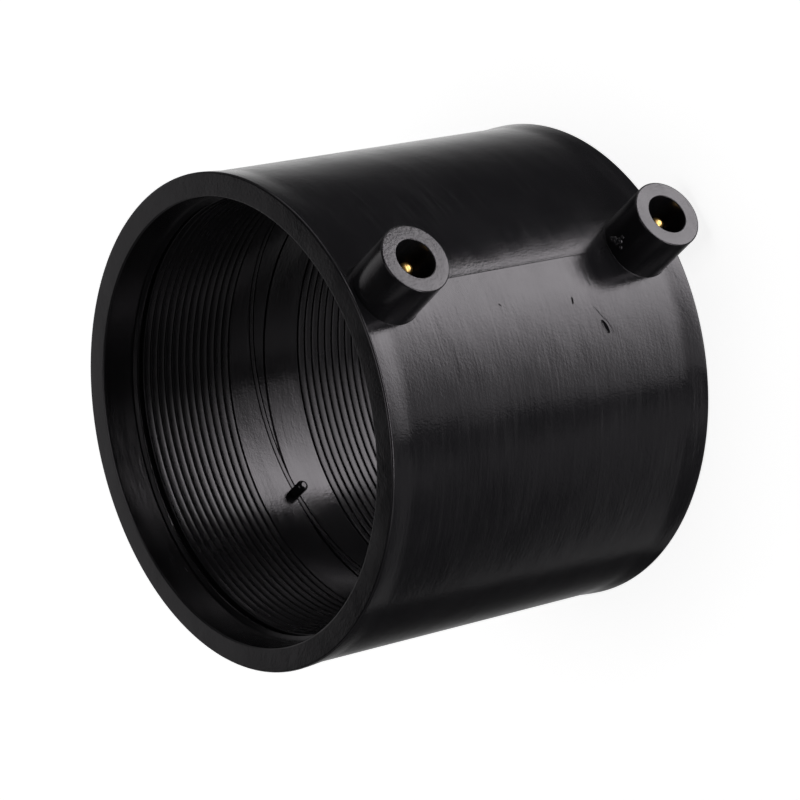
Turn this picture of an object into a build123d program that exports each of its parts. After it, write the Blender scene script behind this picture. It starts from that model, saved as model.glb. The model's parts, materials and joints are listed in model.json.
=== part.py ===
from build123d import *
import math
import os

# Electrofusion coupler for polyethylene pipe, standing on one end.
# Z runs along the pipe axis and z = 0 is the lower end face, so the origin is the centre of the
# lower mouth. The two terminals stand out along +X, one near each end.

# Sleeve: one moulded piece of polyethylene
LENGTH = 116.0
BORE_RADIUS = 62.9
WALL = 7.85
FLARE = 0.55
FLARE_LENGTH = 9.0
RIM_CHAMFER = 0.45
STEP_HEIGHT = 1.2
STEP_LENGTH = 0.7

# Heating wire: coated resistance wire, wound in two zones with its turns side by side
WIRE_WIDTH = 2.5
WIRE_CREST = 1.7
WIRE_DEPTH = 1.9
TURN_GAP = 0.1
FIRST_TURN_GAP = 0.8
CENTRE_LENGTH = 25.2
WIRE_CLEARANCE = 0.05
LINK_WIDTH = 1.5
LINK_DEPTH = 1.6
LINK_INSET = 0.2
LINK_ANGLE = 240.0
STATION_ANGLE = 15.0
TAIL_RADIUS = 0.5
TAIL_OFFSET = 1.2

# Stop pegs: pins of the moulding that stop each pipe at mid-length
PEG_COUNT = 4
PEG_RADIUS = 1.75
PEG_HEIGHT = 5.2
PEG_EDGE = 0.3

# Terminals: a moulded shroud around each brass pin
SHROUD_RADIUS = 10.4
SHROUD_HEIGHT = 16.4
SHROUD_DRAFT = 0.5
SHROUD_EMBED = 2.0
SHROUD_EDGE = 0.4
SHROUD_ROOT = 0.6
SHROUD_MARGIN = 1.3
SOCKET_RADIUS = 5.925
SOCKET_DEPTH = 13.2
PIN_RADIUS = 2.0
PIN_NOSE = 0.7
PIN_RECESS = 4.2
PIN_ROOT_RADIUS = 2.4
PIN_COVER = 0.5
PIN_CLEARANCE = 0.02

# Radii of the sleeve
BARREL_RADIUS = BORE_RADIUS + WALL
END_RADIUS = BARREL_RADIUS + FLARE
MOUTH_RADIUS = BORE_RADIUS + STEP_HEIGHT
ZONE_RADIUS = BORE_RADIUS + WIRE_DEPTH + WIRE_CLEARANCE

# A terminal's places, measured from the pipe axis and from the nearer end
SHROUD_TOP = BARREL_RADIUS + SHROUD_HEIGHT
SHROUD_BASE = BARREL_RADIUS - SHROUD_EMBED
SHROUD_BASE_RADIUS = SHROUD_RADIUS + (SHROUD_TOP - SHROUD_BASE) * math.tan(math.radians(SHROUD_DRAFT))
TERMINAL_INSET = SHROUD_BASE_RADIUS + SHROUD_ROOT + SHROUD_MARGIN
TERMINAL_HEIGHTS = [TERMINAL_INSET, LENGTH - TERMINAL_INSET]
SOCKET_FLOOR = SHROUD_TOP - SOCKET_DEPTH
PIN_FOOT = ZONE_RADIUS + PIN_COVER
PIN_TIP = SHROUD_TOP - PIN_RECESS

# The winding starts beside the terminal's pin, and the mouth ends where the winding's zone starts
PITCH = WIRE_WIDTH + TURN_GAP
WINDING_START = TERMINAL_INSET + TAIL_OFFSET
ZONE_START = WINDING_START - WIRE_WIDTH / 2 - FIRST_TURN_GAP
MOUTH_DEPTH = ZONE_START - STEP_LENGTH
MIDDLE = LENGTH / 2
TURNS = math.floor((MIDDLE - CENTRE_LENGTH / 2 - WINDING_START) / PITCH)

# The wire runs clockwise as it climbs. Each zone has its whole turns and the part turn that brings
# it to the link, and the link crosses mid-length on the side opposite the terminals.
PART_TURN = 180.0 - LINK_ANGLE / 2
WINDING_ANGLE = TURNS * 360.0 + PART_TURN
WINDING_LENGTH = PITCH * WINDING_ANGLE / 360.0
WINDING_END = WINDING_START + WINDING_LENGTH
ZONE_END = WINDING_END + WIRE_WIDTH / 2 + WIRE_CLEARANCE
LINK_PITCH = (LENGTH - 2 * WINDING_END) * 360.0 / LINK_ANGLE
WIRE_ANGLE = 2 * WINDING_ANGLE + LINK_ANGLE


def radial_plane(angle, height, distance):
    """Plane across a line that leaves the pipe axis at an angle, facing outwards."""
    direction = Vector(1, 0, 0).rotate(Axis.Z, angle)
    return Plane(origin=direction * distance + Vector(0, 0, height), z_dir=direction)


def rod(angle, height, start, end, radius):
    """Straight round solid along a line that leaves the pipe axis at an angle."""
    return extrude(radial_plane(angle, height, start) * Circle(radius), end - start)


def sleeve():
    """The wall turned about the pipe axis: flared ends, mouths, and a recess for each winding."""
    half_wall = [
        (BARREL_RADIUS, FLARE_LENGTH),
        (END_RADIUS, RIM_CHAMFER),
        (END_RADIUS - RIM_CHAMFER, 0),
        (MOUTH_RADIUS + RIM_CHAMFER, 0),
        (MOUTH_RADIUS, RIM_CHAMFER),
        (MOUTH_RADIUS, MOUTH_DEPTH),
        (BORE_RADIUS, ZONE_START),
        (ZONE_RADIUS, ZONE_START),
        (ZONE_RADIUS, ZONE_END),
        (BORE_RADIUS, ZONE_END),
    ]
    other_half = [(radius, LENGTH - height) for radius, height in reversed(half_wall)]
    return turned(Plane.XY, half_wall + other_half)


def turned(plane, outline):
    """Solid turned about a plane's normal from (radius, distance along the normal) points."""
    with BuildSketch(Plane.XZ) as half:
        with BuildLine():
            Polyline(*outline, close=True)
        make_face()
    return plane * revolve(half.sketch, Axis.Z)


def shroud(height):
    """The post of one terminal, drafted towards its face, with a broken outer edge."""
    tall = SHROUD_TOP - SHROUD_BASE
    outline = [
        (0, 0),
        (SHROUD_BASE_RADIUS, 0),
        (SHROUD_RADIUS, tall - SHROUD_EDGE),
        (SHROUD_RADIUS - SHROUD_EDGE, tall),
        (0, tall),
    ]
    return turned(radial_plane(0, height, SHROUD_BASE), outline)


def pin_root(height, growth=0.0):
    """The buried root of a pin, or with a growth its seat in the body."""
    return rod(0, height, PIN_FOOT - growth, SOCKET_FLOOR, PIN_ROOT_RADIUS + growth)


def terminal_pin(height):
    """A brass pin: its thicker root stays in the body and its free end stands in the socket."""
    shank = rod(0, height, SOCKET_FLOOR, PIN_TIP, PIN_RADIUS)
    nose = shank.edges().group_by(Axis.X)[-1]
    return pin_root(height) + chamfer(nose, PIN_NOSE)


def peg(angle):
    """A stop peg standing inwards from the bore at mid-length, clear of a link that passes under it."""
    start = BORE_RADIUS - PEG_HEIGHT
    tall = PEG_HEIGHT + LINK_INSET / 2
    outline = [
        (0, 0),
        (PEG_RADIUS - PEG_EDGE, 0),
        (PEG_RADIUS, PEG_EDGE),
        (PEG_RADIUS, tall),
        (0, tall),
    ]
    return turned(radial_plane(angle, MIDDLE, start), outline)


def wire_height(turned_angle):
    """Height of the wire's centre after an angle wound from its lower end."""
    if turned_angle < WINDING_ANGLE:
        return WINDING_START + PITCH * turned_angle / 360.0
    if turned_angle < WINDING_ANGLE + LINK_ANGLE:
        return WINDING_END + LINK_PITCH * (turned_angle - WINDING_ANGLE) / 360.0
    return LENGTH - WINDING_START - PITCH * (WIRE_ANGLE - turned_angle) / 360.0


def wire_section(turned_angle):
    """Section of the wire across the pipe axis: a flattened crest in a winding, a flat strip in the link."""
    crest_radius = BORE_RADIUS / math.cos(math.radians(STATION_ANGLE / 2))
    back_radius = BORE_RADIUS + WIRE_DEPTH
    crest, width = WIRE_CREST, WIRE_WIDTH
    if WINDING_ANGLE <= turned_angle <= WINDING_ANGLE + LINK_ANGLE:
        crest_radius += LINK_INSET
        back_radius = BORE_RADIUS + LINK_DEPTH
        crest, width = LINK_WIDTH, LINK_WIDTH
    corners = [
        (crest_radius, -crest / 2),
        (crest_radius, crest / 2),
        (back_radius, width / 2),
        (back_radius, -width / 2),
    ]
    centre = Vector(0, 0, wire_height(turned_angle))
    outwards = Vector(1, 0, 0).rotate(Axis.Z, -turned_angle)
    points = [centre + outwards * radius + Vector(0, 0, offset) for radius, offset in corners]
    return make_face(Polyline(*points, close=True))


def evenly(start, end):
    """Angles from a start towards an end, about one station apart, without the end itself."""
    steps = math.ceil((end - start) / STATION_ANGLE)
    return [start + (end - start) * step / steps for step in range(steps)]


def link_groove():
    """The helical groove that holds the link, from one winding's recess to the other's."""
    path = Helix(
        pitch=LINK_PITCH,
        height=LINK_PITCH * LINK_ANGLE / 360.0,
        radius=BORE_RADIUS,
        center=(0, 0, WINDING_END),
        lefthand=True,
    )
    across = Plane(origin=path @ 0, x_dir=(1, 0, 0), z_dir=path % 0)
    depth = 2 * (LINK_DEPTH + WIRE_CLEARANCE)
    section = across * Rectangle(depth, LINK_WIDTH + 2 * WIRE_CLEARANCE)
    return sweep(section, path=path, is_frenet=True).rotate(Axis.Z, -PART_TURN)


def tail(height, growth=0.0):
    """The bare end of the wire, which rises from the winding to the foot of a pin."""
    return rod(0, height, ZONE_RADIUS - WIRE_DEPTH / 2, PIN_FOOT, TAIL_RADIUS + growth)


def heating_coil():
    """One wire from pin to pin: lower winding, link and upper winding, with a tail at each end."""
    angles = evenly(0, WINDING_ANGLE)
    angles += evenly(WINDING_ANGLE, WINDING_ANGLE + LINK_ANGLE)
    angles += evenly(WINDING_ANGLE + LINK_ANGLE, WIRE_ANGLE)
    angles.append(WIRE_ANGLE)
    coil = loft([wire_section(angle) for angle in angles], ruled=True)
    for height in (WINDING_START, LENGTH - WINDING_START):
        coil += tail(height)
    return coil


def body():
    """The moulding: sleeve, shrouds and pegs in one, with seats for the pins and the wire."""
    blank = sleeve() - link_groove()
    for height in TERMINAL_HEIGHTS:
        blank += shroud(height)
    blank = chamfer(shroud_roots(blank), SHROUD_ROOT)
    for index in range(PEG_COUNT):
        blank += peg(180.0 + index * 360.0 / PEG_COUNT)
    for height in TERMINAL_HEIGHTS:
        blank -= rod(0, height, SOCKET_FLOOR, SHROUD_TOP, SOCKET_RADIUS)
        blank -= pin_root(height, PIN_CLEARANCE)
    for height in (WINDING_START, LENGTH - WINDING_START):
        blank -= tail(height, WIRE_CLEARANCE)
    return blank


def shroud_roots(blank):
    """The edges where the two shrouds meet the outside of the sleeve."""
    reach = SHROUD_BASE_RADIUS + SHROUD_ROOT
    roots = []
    for edge in blank.edges():
        centre = edge.center()
        near = min(abs(centre.Z - height) for height in TERMINAL_HEIGHTS)
        outside = SHROUD_BASE < centre.X < END_RADIUS + SHROUD_ROOT
        if outside and near < reach and abs(centre.Y) < reach:
            roots.append(edge)
    return roots


os.makedirs("parts", exist_ok=True)
export_step(body(), "parts/body.step")
export_step(heating_coil(), "parts/heating_coil.step")
export_step(terminal_pin(TERMINAL_HEIGHTS[0]), "parts/terminal_pin_lower.step")
export_step(terminal_pin(TERMINAL_HEIGHTS[1]), "parts/terminal_pin_upper.step")
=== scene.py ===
import json
import math

import bmesh
import bpy
import numpy as np
from mathutils import Matrix, Vector


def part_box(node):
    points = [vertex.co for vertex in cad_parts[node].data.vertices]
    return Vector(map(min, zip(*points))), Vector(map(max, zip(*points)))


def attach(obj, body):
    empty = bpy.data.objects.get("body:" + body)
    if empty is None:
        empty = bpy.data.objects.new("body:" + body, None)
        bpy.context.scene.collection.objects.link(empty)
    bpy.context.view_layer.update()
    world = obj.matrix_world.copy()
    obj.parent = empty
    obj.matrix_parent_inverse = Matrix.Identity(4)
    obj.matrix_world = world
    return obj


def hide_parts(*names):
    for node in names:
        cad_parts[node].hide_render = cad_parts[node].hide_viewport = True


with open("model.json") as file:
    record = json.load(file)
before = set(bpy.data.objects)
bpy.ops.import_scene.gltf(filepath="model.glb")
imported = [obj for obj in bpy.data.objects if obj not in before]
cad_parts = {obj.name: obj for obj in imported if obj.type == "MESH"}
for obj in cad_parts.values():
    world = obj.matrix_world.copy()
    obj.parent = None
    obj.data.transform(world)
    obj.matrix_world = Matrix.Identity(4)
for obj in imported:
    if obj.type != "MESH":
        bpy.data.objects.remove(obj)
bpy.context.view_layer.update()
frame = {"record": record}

# Body: one injection moulding of black polyethylene. The sleeve has slightly flared ends with softly
# broken edges, a stepped mouth and a bed for each winding. Two terminal shrouds stand on it and four
# stop pegs point inwards at mid-length. Fine mould lines run along it and round its bore.

MM = 0.001
mounts = {mount["name"]: mount for mount in frame["record"]["mounts"]}
body_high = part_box("body")[1]
coil_low, coil_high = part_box("heating_coil")

# Sleeve
LENGTH = body_high.z
MIDDLE = LENGTH / 2
END_RADIUS = body_high.y
BARREL_RADIUS = END_RADIUS - 0.55 * MM
FLARE_LENGTH = 9 * MM
BARREL_HEIGHTS = (48 * MM, 36 * MM, 26 * MM, 18 * MM, 12 * MM)
RIM_EDGE = 0.6 * MM
MOUTH_RADIUS = mounts["lower_socket"]["dims"]["r_mm"] * MM
BORE_RADIUS = 62.9 * MM
STEP_LENGTH = 0.5 * MM
STEP_EDGE = 0.12 * MM
STEP_LIP = 0.55 * MM

# Wire, which the beds and the groove of the link follow
PITCH = 2.6 * MM
WIRE_WIDTH = 2.5 * MM
TURNS = 12
LINK_ANGLE = math.radians(240)
LINK_SHARE = 0.3
LINK_HALF_WIDTH = WIRE_WIDTH * LINK_SHARE
WINDING_START = coil_low.z + WIRE_WIDTH / 2
WINDING_ANGLE = TURNS * math.tau + math.pi - LINK_ANGLE / 2
WINDING_END = WINDING_START + PITCH * WINDING_ANGLE / math.tau
WIRE_ANGLE = 2 * WINDING_ANGLE + LINK_ANGLE
LINK_PITCH = (LENGTH - 2 * WINDING_END) / LINK_ANGLE
BED_RADIUS = coil_high.y + 0.05 * MM
BED_START = coil_low.z - 0.8 * MM
BED_GAP = 0.12 * MM
BED_EDGE = 0.3 * MM
LINK_GAP = 0.22 * MM
LINK_DEPTH = 1.62 * MM

# Mould lines: the seam stands out along both sides, and the core's joint is a groove round the bore
SEAM_HEIGHT = 0.05 * MM
SEAM_HALF_ANGLE = 0.12
CORE_LINE = 0.42 * MM
CORE_LINE_FLOOR = 0.12 * MM
CORE_LINE_DEPTH = 0.6 * MM

# Stop pegs
PEG_RADIUS = 1.75 * MM
PEG_HEIGHT = 5.2 * MM
PEG_EDGE = 1.1 * MM
PEG_EMBED = 0.1 * MM

# Terminal shrouds
TERMINAL_INSET = mounts["lower_terminal"]["pos_m"][2]
SHROUD_TOP = body_high.x
SHROUD_RADIUS = 10.4 * MM
SHROUD_DRAFT = math.tan(math.radians(0.5))
SHROUD_EMBED = 2 * MM
SHROUD_EDGE = 0.45 * MM
SHROUD_ROOT = 0.25 * MM
ROOT_SINK = 0.03 * MM
SOCKET_RADIUS = 5.925 * MM
SOCKET_EDGE = 0.3 * MM
SOCKET_FLOOR_EDGE = 0.3 * MM
SOCKET_DEPTH = 13.2 * MM
PIN_SEAT_RADIUS = 2.42 * MM
PIN_SEAT_DEPTH = 1 * MM

# Nicks in the outside: angle about the axis, height, length, width, depth and slant, in mm and degrees
GOUGES = [
    (-17.8, 34.6, 4.6, 1.7, 2.2, 22),
    (-14.6, 35.4, 7.0, 0.35, 0.35, 30),
    (-17.6, 33.0, 7.0, 0.35, 0.35, 24),
    (-10.5, 43.5, 2.4, 0.8, 1.0, -12),
    (-8.4, 68.8, 1.2, 0.5, 0.6, 40),
    (-44, 71.5, 2.0, 0.5, 0.8, 60),
]

# Cluster of specks on the lower shroud's side: distance from the axis, offset across and size, in mm
SPECKS = [
    (73.4, 1.6, 1.5),
    (74.6, 0.4, 2.3),
    (76.1, -0.5, 1.7),
    (77.6, -0.2, 1.1),
    (74.9, -1.9, 1.3),
]


def skin(name, points, ring=False):
    """Solid from rows of points that close on themselves: a ring, or a length with both ends closed."""
    rows, columns = points.shape[:2]
    index = np.arange(rows * columns).reshape(rows, columns)
    start, ahead = (index, np.roll(index, -1, 0)) if ring else (index[:-1], index[1:])
    quads = np.stack([start, ahead, np.roll(ahead, -1, 1), np.roll(start, -1, 1)], -1)
    faces = quads.reshape(-1, 4).tolist()
    if not ring:
        faces += [index[0].tolist(), index[-1][::-1].tolist()]
    mesh = bpy.data.meshes.new(name)
    mesh.from_pydata(points.reshape(-1, 3).tolist(), [], faces)
    solid = bmesh.new()
    solid.from_mesh(mesh)
    bmesh.ops.recalc_face_normals(solid, faces=solid.faces)
    solid.to_mesh(mesh)
    solid.free()
    piece = bpy.data.objects.new(name, mesh)
    bpy.context.scene.collection.objects.link(piece)
    return piece


def rounded(centre, radius, start, end, steps=5):
    """Points of a rounded edge in an outline, between two angles in degrees."""
    angles = np.radians(np.linspace(start, end, steps))
    return [(centre[0] + radius * math.cos(a), centre[1] + radius * math.sin(a)) for a in angles]


def turned(name, outline, segments, axis_height, base):
    """Piece turned about a line that leaves the pipe axis along +X, from (radius, distance) points."""
    around = np.linspace(0, math.tau, segments, endpoint=False)[:, None]
    radius, distance = np.array(outline).T
    points = np.stack(
        [
            np.broadcast_to(base + distance, (segments, len(outline))),
            np.cos(around) * radius,
            axis_height + np.sin(around) * radius,
        ],
        -1,
    )
    return skin(name, points.transpose(1, 0, 2))


def lump(size, place):
    """Small ball, stretched to three diameters in mm and then placed."""
    ball = bmesh.new()
    bmesh.ops.create_icosphere(ball, subdivisions=3, radius=0.5)
    ball.transform(place @ Matrix.Diagonal((*(side * MM for side in size), 1)))
    mesh = bpy.data.meshes.new("ball")
    ball.to_mesh(mesh)
    ball.free()
    solid = bpy.data.objects.new("ball", mesh)
    bpy.context.scene.collection.objects.link(solid)
    return solid


def smooth(piece, crease):
    """Smooth shading with creases where faces meet at more than an angle, kept true on the flats."""
    piece.data.polygons.foreach_set("use_smooth", [True] * len(piece.data.polygons))
    piece.data.set_sharp_from_angle(angle=math.radians(crease))
    weighted = piece.modifiers.new("flat_faces", "WEIGHTED_NORMAL")
    weighted.keep_sharp = True


def cut_or_join(piece, other, operation):
    """Takes another solid out of a piece or joins it on, and removes that solid."""
    change = piece.modifiers.new(operation, "BOOLEAN")
    change.operation = operation
    change.object = other
    change.solver = "EXACT"
    bpy.context.view_layer.update()
    evaluated = piece.evaluated_get(bpy.context.evaluated_depsgraph_get())
    result = bpy.data.meshes.new_from_object(evaluated)
    piece.modifiers.clear()
    piece.data = result
    bpy.data.objects.remove(other)


def wire_height(wound):
    """Height of the wire's centre after an angle wound from its lower end."""
    if wound < WINDING_ANGLE:
        return WINDING_START + PITCH * wound / math.tau
    if wound < WINDING_ANGLE + LINK_ANGLE:
        return WINDING_END + LINK_PITCH * (wound - WINDING_ANGLE)
    return LENGTH - WINDING_START - PITCH * (WIRE_ANGLE - wound) / math.tau


def bed_end(angle):
    """Height at which the lower bed closes behind the winding's last turn, at an angle."""
    wound = WINDING_ANGLE - (angle + WINDING_ANGLE) % math.tau
    return wire_height(wound) + WIRE_WIDTH / 2 + BED_GAP


def half_wall(angle):
    """Outline of the wall's lower half at an angle, from mid-length outside to the winding's bed."""
    seam = SEAM_HEIGHT if min(angle % math.pi, -angle % math.pi) < 1e-6 else 0
    outline = [(BARREL_RADIUS + seam, height) for height in (MIDDLE, *BARREL_HEIGHTS)]
    for share in np.linspace(0, 0.9, 8):
        rise = (END_RADIUS - BARREL_RADIUS) * share * share * (3 - 2 * share)
        outline.append((BARREL_RADIUS + rise + seam * (1 - share), FLARE_LENGTH * (1 - share)))
    outline += rounded((END_RADIUS - RIM_EDGE, RIM_EDGE), RIM_EDGE, 0, -90)
    outline += rounded((MOUTH_RADIUS + RIM_EDGE, RIM_EDGE), RIM_EDGE, -90, -180)
    for share in (0.3, 0.6, 0.9, 1):
        outline.append((MOUTH_RADIUS, share * (BED_START - STEP_LENGTH - STEP_LIP)))
    outline += rounded((BORE_RADIUS + STEP_EDGE, BED_START - STEP_LIP), STEP_EDGE, 210, 180)
    outline += rounded((BORE_RADIUS + STEP_EDGE, BED_START - STEP_EDGE), STEP_EDGE, 180, 90)
    outline += [(BED_RADIUS, BED_START + 0.1 * MM)]
    return outline


def land(low_end, high_end):
    """Outline of the bore between the two beds, with the core's line in its middle."""
    return [
        (BED_RADIUS, low_end - 0.05 * MM),
        (BORE_RADIUS + BED_EDGE, low_end),
        (BORE_RADIUS, low_end + BED_EDGE),
        (BORE_RADIUS, MIDDLE - CORE_LINE),
        (BORE_RADIUS + CORE_LINE_DEPTH, MIDDLE - CORE_LINE_FLOOR),
        (BORE_RADIUS + CORE_LINE_DEPTH, MIDDLE + CORE_LINE_FLOOR),
        (BORE_RADIUS, MIDDLE + CORE_LINE),
        (BORE_RADIUS, high_end - BED_EDGE),
        (BORE_RADIUS + BED_EDGE, high_end),
        (BED_RADIUS, high_end + 0.05 * MM),
    ]


def sleeve():
    """The wall all round, with extra columns of points beside each seam."""
    seam_sides = {seam + side for seam in (0, 180) for side in (-SEAM_HALF_ANGLE, SEAM_HALF_ANGLE)}
    rows = []
    for degree in sorted(set(range(360)) | seam_sides):
        angle = math.radians(degree)
        half = half_wall(angle)
        outline = half + land(bed_end(angle), LENGTH - bed_end(-angle))
        outline += [(radius, LENGTH - height) for radius, height in half[:0:-1]]
        rows.append([(r * math.cos(angle), r * math.sin(angle), height) for r, height in outline])
    return skin("body_moulding", np.array(rows), ring=True)


def link_groove():
    """Solid to cut for the link, from one bed to the other on the side away from the terminals."""
    reach = LINK_ANGLE / 2 + math.radians(2)
    inner, outer = BORE_RADIUS - 0.5 * MM, BORE_RADIUS + LINK_DEPTH
    half_width = LINK_HALF_WIDTH + LINK_GAP
    corners = [(inner, -half_width), (inner, half_width), (outer, half_width), (outer, -half_width)]
    rows = []
    for angle in np.linspace(-reach, reach, 180):
        height = MIDDLE + angle * LINK_PITCH
        rows.append([(-r * math.cos(angle), r * math.sin(angle), height + up) for r, up in corners])
    return skin("groove", np.array(rows))


def shroud(terminal_height):
    """One shroud with its socket. Its rounded root follows the sleeve and the rest stands straight."""
    foot = BARREL_RADIUS - SHROUD_EMBED
    tall = SHROUD_TOP - foot
    root_radius = SHROUD_RADIUS + (tall - SHROUD_EMBED) * SHROUD_DRAFT
    floor_height = tall - SOCKET_DEPTH
    root = [(root_radius + SHROUD_ROOT, -SHROUD_EMBED)]
    root += rounded((root_radius + SHROUD_ROOT, SHROUD_ROOT), SHROUD_ROOT, 270, 180, 7)
    outline = root + rounded((SHROUD_RADIUS - SHROUD_EDGE, tall - SHROUD_EDGE), SHROUD_EDGE, 0, 90)
    outline += rounded((SOCKET_RADIUS + SOCKET_EDGE, tall - SOCKET_EDGE), SOCKET_EDGE, 90, 180)
    outline += [
        (SOCKET_RADIUS, floor_height + SOCKET_FLOOR_EDGE),
        (SOCKET_RADIUS - SOCKET_FLOOR_EDGE, floor_height),
        (PIN_SEAT_RADIUS, floor_height),
        (PIN_SEAT_RADIUS, floor_height - PIN_SEAT_DEPTH),
    ]
    around = np.linspace(0, math.tau, 120, endpoint=False)
    points = np.empty((len(outline), len(around), 3))
    for row, (radius, distance) in enumerate(outline):
        across = np.cos(around) * radius
        sleeve_surface = np.sqrt(BARREL_RADIUS**2 - across**2) - ROOT_SINK
        points[row, :, 0] = distance + (sleeve_surface if row < len(root) else foot)
        points[row, :, 1] = across
        points[row, :, 2] = terminal_height + np.sin(around) * radius
    return skin("shroud", points)


def stop_peg(quarter):
    """One stop peg with a domed tip, which starts a little inside the wall."""
    tip = PEG_HEIGHT + PEG_EMBED
    outline = [(PEG_RADIUS, 0), (PEG_RADIUS, tip - PEG_EDGE)]
    outline += rounded((PEG_RADIUS - PEG_EDGE, tip - PEG_EDGE), PEG_EDGE, 10, 90, 7)
    peg = turned("peg", outline, 48, 0, -BORE_RADIUS - PEG_EMBED)
    raised = Matrix.Translation((0, 0, MIDDLE))
    peg.data.transform(raised @ Matrix.Rotation(quarter * math.pi / 2, 4, "Z"))
    return peg


body = sleeve()
cut_or_join(body, link_groove(), "DIFFERENCE")
for terminal_height in (TERMINAL_INSET, LENGTH - TERMINAL_INSET):
    cut_or_join(body, shroud(terminal_height), "UNION")
for quarter in range(4):
    cut_or_join(body, stop_peg(quarter), "UNION")
for angle, height, length, width, depth, slant in GOUGES:
    place = Matrix.Rotation(math.radians(angle), 4, "Z")
    place @= Matrix.Translation((BARREL_RADIUS + 0.1 * depth * MM, 0, height * MM))
    place @= Matrix.Rotation(math.radians(slant), 4, "X")
    cut_or_join(body, lump((depth, length, width), place), "DIFFERENCE")
for out, across, size in SPECKS:
    up = math.sqrt(SHROUD_RADIUS**2 - (across * MM) ** 2)
    place = Matrix.Translation((out * MM, across * MM, TERMINAL_INSET + up))
    cut_or_join(body, lump((size, size * 1.3, size), place), "UNION")
smooth(body, crease=32)


def feed(tree, socket, value):
    """Sets a socket to a number or a colour, or links another node's output to it."""
    if isinstance(value, bpy.types.NodeSocket):
        tree.links.new(value, socket)
    else:
        socket.default_value = value


def arithmetic(tree, operation, *values):
    """One sum in a node tree, on numbers or other nodes' outputs."""
    step = tree.nodes.new("ShaderNodeMath")
    step.operation = operation
    for socket, value in zip(step.inputs, values):
        feed(tree, socket, value)
    return step.outputs["Value"]


def spread(tree, value, source, target, easing="LINEAR"):
    """A value carried from one range into another."""
    ranged = tree.nodes.new("ShaderNodeMapRange")
    ranged.interpolation_type = easing
    for title, setting in zip(("From Min", "From Max", "To Min", "To Max"), (*source, *target)):
        feed(tree, ranged.inputs[title], setting)
    feed(tree, ranged.inputs["Value"], value)
    return ranged.outputs["Result"]


def blend(tree, share, first, second, kind="RGBA"):
    """A colour or a number between two others."""
    mixed = tree.nodes.new("ShaderNodeMix")
    mixed.data_type = kind
    for title, setting in (("Factor", share), ("A", first), ("B", second)):
        feed(tree, mixed.inputs[title], setting)
    return mixed.outputs["Result"]


def noise(tree, scale, stretch=(1, 1, 1), detail=4.0):
    """Noise that reads the piece's own coordinates, stretched along the axes."""
    mapping = tree.nodes.new("ShaderNodeMapping")
    mapping.inputs["Scale"].default_value = stretch
    feed(tree, mapping.inputs["Vector"], tree.nodes.new("ShaderNodeTexCoord").outputs["Object"])
    texture = tree.nodes.new("ShaderNodeTexNoise")
    texture.inputs["Scale"].default_value = scale
    texture.inputs["Detail"].default_value = detail
    feed(tree, texture.inputs["Vector"], mapping.outputs["Vector"])
    return texture.outputs["Fac"]


def at_radius(tree, radius, band):
    """Mask of what lies within a band of a radius from the pipe axis."""
    flat = tree.nodes.new("ShaderNodeVectorMath")
    flat.operation = "MULTIPLY"
    flat.inputs[1].default_value = (1, 1, 0)
    feed(tree, flat.inputs[0], tree.nodes.new("ShaderNodeTexCoord").outputs["Object"])
    out = tree.nodes.new("ShaderNodeVectorMath")
    out.operation = "LENGTH"
    feed(tree, out.inputs[0], flat.outputs["Vector"])
    return arithmetic(tree, "COMPARE", out.outputs["Value"], radius, band)


def new_material(name):
    """Material with one Principled shader, its node tree and that shader."""
    material = bpy.data.materials.new(name)
    material.use_nodes = True
    return material, material.node_tree, material.node_tree.nodes["Principled BSDF"]


# Satin moulding: the finish that the body and the coated wire share. Its black varies slowly with the
# flow of the plastic, turned rings are rubbed paler in patches, and waves and grain break the gloss.
FLOW_BLACK = (0.0085, 0.0082, 0.0095, 1)
FLOW_PALE = (0.0125, 0.012, 0.0135, 1)
RUBBED_GREY = (0.05, 0.05, 0.052, 1)
MID_NOISE = (0.3, 0.7)
RING_ROUGHNESS = 0.12
MOUTH_ROUGHNESS = 0.05

moulding = bpy.data.node_groups.new("satin_moulding", "ShaderNodeTree")
for title in ("Roughness Low", "Roughness High", "Scuffing", "Waves", "Rings", "Mottle", "Grain"):
    moulding.interface.new_socket(title, in_out="INPUT", socket_type="NodeSocketFloat")
moulding.interface.new_socket("Color", in_out="OUTPUT", socket_type="NodeSocketColor")
for title in ("Roughness", "Relief"):
    moulding.interface.new_socket(title, in_out="OUTPUT", socket_type="NodeSocketFloat")
given = moulding.nodes.new("NodeGroupInput").outputs
result = moulding.nodes.new("NodeGroupOutput").inputs

flow = noise(moulding, 70)
rings = noise(moulding, 60, (1, 1, 18), 8.0)
patches = spread(moulding, noise(moulding, 28, detail=2.0), MID_NOISE, (0, given["Scuffing"]))
scuffs = arithmetic(moulding, "MULTIPLY", spread(moulding, rings, (0.5, 0.72), (0, 1)), patches)
tone = blend(moulding, flow, FLOW_BLACK, FLOW_PALE)
feed(moulding, result["Color"], blend(moulding, scuffs, tone, RUBBED_GREY))

gloss = spread(moulding, flow, MID_NOISE, (given["Roughness Low"], given["Roughness High"]))
ringed = arithmetic(moulding, "MULTIPLY_ADD", rings, RING_ROUGHNESS, gloss)
mouth = at_radius(moulding, MOUTH_RADIUS, 0.5 * MM)
roughness = arithmetic(moulding, "MULTIPLY_ADD", mouth, MOUTH_ROUGHNESS, ringed)
feed(moulding, result["Roughness"], roughness)

relief = 0
for layer, depth in (
    (noise(moulding, 45, (1, 1, 1.4), 2.0), given["Waves"]),
    (rings, given["Rings"]),
    (noise(moulding, 520, (1, 1, 1.5), 3.0), given["Mottle"]),
    (noise(moulding, 1600, detail=2.0), given["Grain"]),
):
    relief = arithmetic(moulding, "MULTIPLY_ADD", layer, depth, relief)
feed(moulding, result["Relief"], relief)


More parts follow.
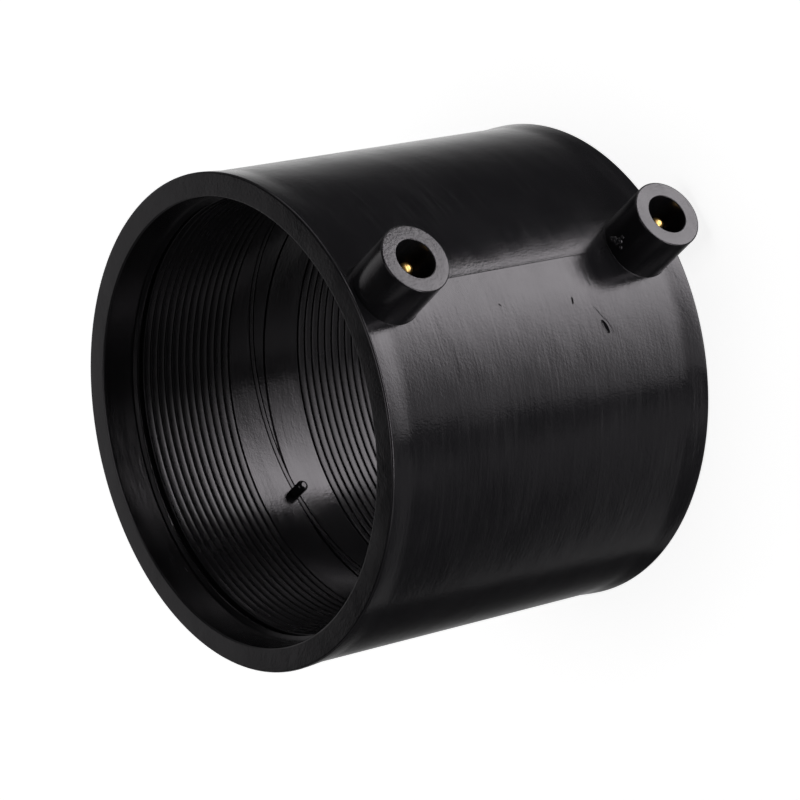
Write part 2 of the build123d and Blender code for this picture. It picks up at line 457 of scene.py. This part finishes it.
def satin_black(name, finish_values):
    """Black plastic with the satin moulding's finish, where the depths of its relief are in mm."""
    material, tree, shader = new_material(name)
    finish = tree.nodes.new("ShaderNodeGroup")
    finish.node_tree = moulding
    for title, value in finish_values.items():
        finish.inputs[title].default_value = value
    bump = tree.nodes.new("ShaderNodeBump")
    bump.inputs["Strength"].default_value = 1.0
    bump.inputs["Distance"].default_value = MM
    feed(tree, bump.inputs["Height"], finish.outputs["Relief"])
    shader.inputs["Specular Tint"].default_value = (1, 0.94, 1, 1)
    feed(tree, shader.inputs["Base Color"], finish.outputs["Color"])
    feed(tree, shader.inputs["Roughness"], finish.outputs["Roughness"])
    feed(tree, shader.inputs["Normal"], bump.outputs["Normal"])
    return material


body.data.materials.clear()
body.data.materials.append(
    satin_black(
        "black_polyethylene_moulded",
        {
            "Roughness Low": 0.08,
            "Roughness High": 0.16,
            "Scuffing": 0.22,
            "Waves": 0.2,
            "Rings": 0.027,
            "Mottle": 0.022,
            "Grain": 0.03,
        },
    )
)
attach(body, "root")
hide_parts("body")

# Heating coil: one resistance wire in a polyethylene coat, wound side by side into the bed of each
# socket and pressed flush with the bore. Its crests are rounded, and a slanting link joins the zones.

CROWN = 0.03 * MM
LINK_INSET = 0.06 * MM
LINK_EASE = math.radians(6)
WINDING_STATIONS = 2200
LINK_STATIONS = 160

# Edge and back of the wire in mm and its half width as a share: in the link, and what a winding adds
LINK_EDGE, EDGE_GAIN = 0.25, 0.15
LINK_BACK, BACK_GAIN = 1.6, 0.28
SHARE_GAIN = 0.2


def wire_section(wound):
    """Section of the wire after an angle wound: wide in a winding, narrow and flat in the link."""
    past_link = (abs(wound - WIRE_ANGLE / 2) - LINK_ANGLE / 2) / LINK_EASE
    full = max(0, min(1, past_link + 1))
    half_width = WIRE_WIDTH * (LINK_SHARE + SHARE_GAIN * full)
    edge = (LINK_EDGE + EDGE_GAIN * full) * MM
    crest = BORE_RADIUS + (1 - full) * LINK_INSET
    back = BORE_RADIUS + (LINK_BACK + BACK_GAIN * full) * MM
    section = rounded((crest + edge, -half_width + edge), edge, 270, 190)
    for share in (-0.6, -0.2, 0.2, 0.6):
        section.append((crest - CROWN * full * (1 - share * share), (half_width - edge) * share))
    section += rounded((crest + edge, half_width - edge), edge, 170, 90)
    return section + [(back, half_width), (back, -half_width)]


stations = np.concatenate(
    [
        np.linspace(0, WINDING_ANGLE, WINDING_STATIONS, endpoint=False),
        np.linspace(WINDING_ANGLE, WINDING_ANGLE + LINK_ANGLE, LINK_STATIONS, endpoint=False),
        np.linspace(WINDING_ANGLE + LINK_ANGLE, WIRE_ANGLE, WINDING_STATIONS),
    ]
)
rows = []
for wound in stations:
    out, along, centre = math.cos(wound), -math.sin(wound), wire_height(wound)
    rows.append([(radius * out, radius * along, centre + up) for radius, up in wire_section(wound)])
coil = skin("heating_wire", np.array(rows))
smooth(coil, crease=50)

coil.data.materials.append(
    satin_black(
        "coated_wire_black",
        {
            "Roughness Low": 0.16,
            "Roughness High": 0.24,
            "Scuffing": 0.1,
            "Waves": 0.0,
            "Rings": 0.0,
            "Mottle": 0.006,
            "Grain": 0.01,
        },
    )
)
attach(coil, "root")
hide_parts("heating_coil")

# Terminal pins: bright turned brass with rounded tips, a little tarnished. The thicker root of each is
# moulded into the floor of its shroud's socket.

PIN_RADIUS = mounts["lower_terminal"]["dims"]["r_mm"] * MM
PIN_NOSE = PIN_RADIUS * 0.85
PIN_ROOT_RADIUS = PIN_SEAT_RADIUS - 0.02 * MM
PIN_ROOT_DEPTH = 3 * MM
PIN_SHOULDER = 0.05 * MM
BRASS_TARNISHED = (0.72, 0.43, 0.14, 1)
BRASS_BRIGHT = (0.85, 0.56, 0.2, 1)

brass, tree, shader = new_material("brass_turned")
shader.inputs["Metallic"].default_value = 1.0
tarnish = noise(tree, 900)
feed(tree, shader.inputs["Base Color"], blend(tree, tarnish, BRASS_TARNISHED, BRASS_BRIGHT))
feed(tree, shader.inputs["Roughness"], spread(tree, tarnish, MID_NOISE, (0.24, 0.4)))

for name in ("terminal_pin_lower", "terminal_pin_upper"):
    pin_low, pin_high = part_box(name)
    tip = pin_high.x - SHROUD_TOP + SOCKET_DEPTH
    outline = [
        (PIN_ROOT_RADIUS, -PIN_ROOT_DEPTH),
        (PIN_ROOT_RADIUS, -PIN_SHOULDER),
        (PIN_RADIUS, 0),
        (PIN_RADIUS, tip - PIN_NOSE),
    ]
    outline += rounded((PIN_RADIUS - PIN_NOSE, tip - PIN_NOSE), PIN_NOSE, 5, 88, 12)
    height = (pin_low.z + pin_high.z) / 2
    pin = turned(name + "_turned", outline, 64, height, SHROUD_TOP - SOCKET_DEPTH)
    smooth(pin, crease=50)
    pin.data.materials.append(brass)
    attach(pin, "root")
    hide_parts(name)

# Floor: a plain white paper sweep. Light reaches the wall from below as well as from above, so the
# floor throws no shadow of its own and stays out of the plastic's reflections.

FLOOR_REACH = 3
FLOOR_DROP = 0.0002
PAPER_GREY = (0.8, 0.8, 0.8, 1)
PAPER_GLOW = 0.86

floor_corners = [(x * FLOOR_REACH, y * FLOOR_REACH, 0) for x, y in ((-1, -1), (1, -1), (1, 1), (-1, 1))]
floor_mesh = bpy.data.meshes.new("floor")
floor_mesh.from_pydata(floor_corners, [], [(0, 1, 2, 3)])
floor = bpy.data.objects.new("floor", floor_mesh)
bpy.context.scene.collection.objects.link(floor)
floor.location.z = -FLOOR_DROP
floor.visible_glossy = False
floor.visible_shadow = False


def seen_itself(tree):
    """1 for a ray that shows the setting itself, from the camera or through something clear."""
    path = tree.nodes.new("ShaderNodeLightPath").outputs
    return arithmetic(tree, "MAXIMUM", path["Is Camera Ray"], path["Is Transmission Ray"])


paper, tree, shader = new_material("floor_paper")
shader.inputs["Base Color"].default_value = PAPER_GREY
shader.inputs["Roughness"].default_value = 0.9
shader.inputs["Emission Color"].default_value = (1, 1, 1, 1)
paper_glow = arithmetic(tree, "MULTIPLY", seen_itself(tree), PAPER_GLOW)
feed(tree, shader.inputs["Emission Strength"], paper_glow)
floor_mesh.materials.append(paper)

# Backdrop: plain white where it is seen. What the part reflects and is lit by is a dim room with one
# soft glow, three soft panels that stand round it a little below level, and a faint band above them.

GLOW_DIRECTION = (-0.640, 0.470, -0.608)
GLOW_NARROWNESS = 12
ROOM_DIM, ROOM_GLOW = 0.014, 0.85
PANEL_COUNT = 3
PANEL_GAP_BRIGHTNESS = 0.02
PANEL_BAND = {"level": -0.26, "inner": 0.17, "outer": 0.27, "strength": 0.75}
UPPER_BAND = {"level": 0.3, "inner": 0.1, "outer": 0.2, "strength": 0.22}

world = bpy.data.worlds.new("backdrop")
bpy.context.scene.world = world
world.use_nodes = True
tree = world.node_tree
direction = tree.nodes.new("ShaderNodeTexCoord").outputs["Generated"]
facing = tree.nodes.new("ShaderNodeVectorMath")
facing.operation = "DOT_PRODUCT"
facing.inputs[1].default_value = GLOW_DIRECTION
feed(tree, facing.inputs[0], direction)
towards = arithmetic(tree, "MAXIMUM", facing.outputs["Value"], 0)
narrowed = arithmetic(tree, "POWER", towards, GLOW_NARROWNESS)
glow = spread(tree, narrowed, (0, 1), (ROOM_DIM, ROOM_GLOW))
split = tree.nodes.new("ShaderNodeSeparateXYZ")
feed(tree, split.inputs["Vector"], direction)


def band(tree, height, level, inner, outer, strength):
    """Part of the room round one level, which fades out above and below."""
    away = arithmetic(tree, "ABSOLUTE", arithmetic(tree, "SUBTRACT", height, level))
    return spread(tree, away, (inner, outer), (strength, 0), "SMOOTHSTEP")


around = arithmetic(tree, "ARCTAN2", split.outputs["Y"], split.outputs["X"])
wave = arithmetic(tree, "COSINE", arithmetic(tree, "MULTIPLY_ADD", around, PANEL_COUNT, math.pi))
panels = spread(tree, wave, (0, 0.9), (PANEL_GAP_BRIGHTNESS, 1), "SMOOTHSTEP")
panels = arithmetic(tree, "MULTIPLY", band(tree, split.outputs["Z"], **PANEL_BAND), panels)
room = arithmetic(tree, "ADD", panels, band(tree, split.outputs["Z"], **UPPER_BAND))
room = arithmetic(tree, "ADD", room, glow)
backdrop = tree.nodes["Background"]
backdrop.inputs["Color"].default_value = (1, 1, 1, 1)
feed(tree, backdrop.inputs["Strength"], blend(tree, seen_itself(tree), room, 1.0, "FLOAT"))

# Camera: a long lens that looks down into the upper mouth, rolled so that the coupler seems to lie on
# its side.

AZIMUTH, ELEVATION, ROLL = math.radians(-22.342), math.radians(37.4435), math.radians(101.671)
CAMERA_DISTANCE = 1076.86
FOCAL_LENGTH = 166.87
SENSOR_WIDTH = 36
AIM_OFFSET = (-0.46, -2.92, -0.88)

target = Vector(AIM_OFFSET) * MM + Vector((0, 0, MIDDLE))
back = Vector(
    (
        math.cos(ELEVATION) * math.cos(AZIMUTH),
        math.cos(ELEVATION) * math.sin(AZIMUTH),
        math.sin(ELEVATION),
    )
)
level_right = Vector((0, 0, 1)).cross(back).normalized()
level_up = back.cross(level_right)
up = level_up * math.cos(ROLL) + level_right * math.sin(ROLL)
turn = Matrix((up.cross(back), up, back)).transposed()
lens = bpy.data.cameras.new("camera")
lens.lens = FOCAL_LENGTH
lens.sensor_width = SENSOR_WIDTH
camera = bpy.data.objects.new("camera", lens)
camera.matrix_world = Matrix.Translation(target + back * CAMERA_DISTANCE * MM) @ turn.to_4x4()
bpy.context.scene.collection.objects.link(camera)
bpy.context.scene.camera = camera

# Lamps: a wide silk sheet below the terminals, which grows brighter along a slant, and four plain
# softboxes in front, at one side, behind and overhead.


def aim(lamp, azimuth, elevation, distance):
    """Places a lamp in a direction about the pipe axis, in degrees, and turns it to the part."""
    around, rise = math.radians(azimuth), math.radians(elevation)
    flat = math.cos(rise)
    direction = Vector((flat * math.cos(around), flat * math.sin(around), math.sin(rise)))
    lamp.location = Vector((0, 0, MIDDLE)) + direction * distance
    lamp.rotation_mode = "QUATERNION"
    lamp.rotation_quaternion = direction.to_track_quat("Z", "Y")
    bpy.context.scene.collection.objects.link(lamp)


def softbox(name, azimuth, elevation, distance, width, height, brightness):
    """A plain rectangular lamp."""
    data = bpy.data.lights.new(name, "AREA")
    data.shape = "RECTANGLE"
    data.size, data.size_y = width, height
    data.energy = brightness * math.pi * width * height
    aim(bpy.data.objects.new(name, data), azimuth, elevation, distance)


KEY_LEFT, KEY_RIGHT, KEY_LOW, KEY_HIGH = -0.53, 0.48, 0.02, 0.44
KEY_SLANT = -1.1
KEY_FADE = (-0.68, -0.03)
KEY_STRENGTH = (0.5, 5.0)
key_corners = [
    (KEY_LEFT, KEY_LOW, 0),
    (KEY_RIGHT, KEY_LOW, 0),
    (KEY_RIGHT, KEY_HIGH, 0),
    (KEY_LEFT, KEY_HIGH, 0),
]
key_mesh = bpy.data.meshes.new("key")
key_mesh.from_pydata(key_corners, [], [(0, 1, 2, 3)])
key = bpy.data.objects.new("key", key_mesh)
aim(key, -5.5, -53, 1.0)
key.visible_camera = False
silk = bpy.data.materials.new("key_silk")
silk.use_nodes = True
tree = silk.node_tree
sheet = tree.nodes.new("ShaderNodeSeparateXYZ")
feed(tree, sheet.inputs["Vector"], tree.nodes.new("ShaderNodeTexCoord").outputs["Object"])
slanted = arithmetic(tree, "MULTIPLY_ADD", sheet.outputs["Y"], KEY_SLANT, sheet.outputs["X"])
light = tree.nodes.new("ShaderNodeEmission")
feed(tree, light.inputs["Strength"], spread(tree, slanted, KEY_FADE, KEY_STRENGTH, "SMOOTHSTEP"))
feed(tree, tree.nodes["Material Output"].inputs["Surface"], light.outputs["Emission"])
key_mesh.materials.append(silk)

softbox("front", -15, -8, 1.0, 1.8, 0.25, 4.6)
softbox("side", -95, -56, 1.1, 1.3, 0.65, 0.16)
softbox("fill", 149, 26, 1.0, 0.6, 0.5, 0.34)
softbox("overhead", 90, 88, 2.5, 1.5, 1.5, 1.4)

bpy.context.scene.view_settings.view_transform = "Standard"
